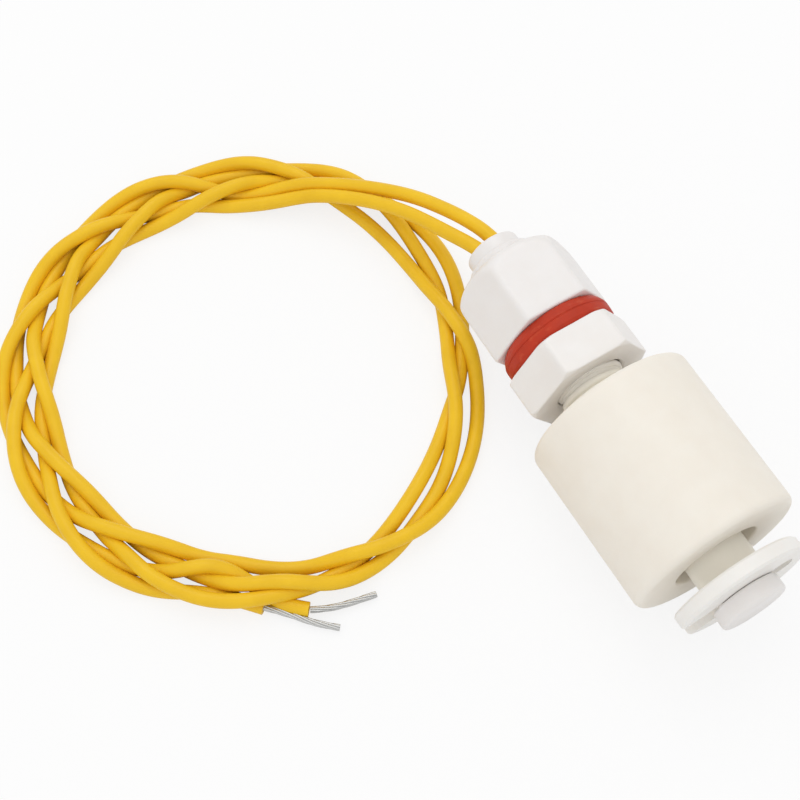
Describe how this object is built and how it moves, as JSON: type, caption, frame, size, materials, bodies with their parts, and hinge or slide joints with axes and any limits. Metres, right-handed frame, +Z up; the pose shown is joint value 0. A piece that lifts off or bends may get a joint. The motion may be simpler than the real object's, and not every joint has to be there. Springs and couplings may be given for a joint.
{
  "type": "float level switch",
  "caption": "Small vertical float level switch: threaded plastic stem with a hex head, sealing washer and lock nut, a sliding float held by a clip, and loose coiled leads.",
  "frame": {"origin": "on the floor below the middle of the switch, half-way between the cap's end face and the end boss; the switch lies on its float", "axes": "+X along the stem's axis from the lead end towards the clip end, +Z up from the floor, +Y across, away from the coil of leads"},
  "size_m": [0.0995, 0.0812, 0.0233],
  "materials": {
    "white_moulding": "satin",
    "potting_resin": "gloss",
    "red_rubber": "matt",
    "white_nut": "satin",
    "ivory_float": "satin",
    "ferrite": "matt",
    "white_clip": "satin",
    "yellow_insulation": "gloss",
    "tinned_wire": "bright",
    "solder": "bright",
    "dark_sleeve": "satin",
    "contact_wire": "bright",
    "clear_glass": "clear",
    "grey_insulation": "satin"
  },
  "bodies": {
    "stem": {"housing": "white_moulding", "potting": "potting_resin", "retaining_clip": "white_clip", "lead_a_inner": "yellow_insulation", "lead_b_inner": "yellow_insulation", "solder_a": "solder", "solder_b": "solder", "sleeve_a": "dark_sleeve", "sleeve_b": "dark_sleeve", "reed_blade_a": "contact_wire", "reed_blade_b": "contact_wire", "reed_glass": "clear_glass", "return_wire": "grey_insulation", "lead_a": "yellow_insulation", "lead_b": "yellow_insulation", "lead_coil": "yellow_insulation", "tinned_end_a": "tinned_wire", "tinned_end_b": "tinned_wire"},
    "washer": {"sealing_washer": "red_rubber"},
    "nut": {"lock_nut": "white_nut"},
    "magnet": {"ring_magnet": "ferrite"},
    "float": {"float": "ivory_float"}
  },
  "joints": [
    {"name": "washer_travel", "type": "slide", "parent": "stem", "child": "washer", "axis": [1, 0, 0], "range_m": [0, 0.0015]},
    {"name": "nut_turn", "type": "hinge", "parent": "washer", "child": "nut", "pos_m": [-0.01155, 0, 0.01165], "axis": [1, 0, 0], "range_deg": [0, 360]},
    {"name": "float_travel", "type": "slide", "parent": "stem", "child": "magnet", "axis": [1, 0, 0], "range_m": [-0.0018, 0.0031]},
    {"name": "float_spin", "type": "hinge", "parent": "magnet", "child": "float", "pos_m": [0.00985, 0, 0.01165], "axis": [1, 0, 0], "continuous": true}
  ],
  "couplings": [
    {"joint": "washer_travel", "follows": "nut_turn", "m_per_rad": 0.00023873}
  ]
}
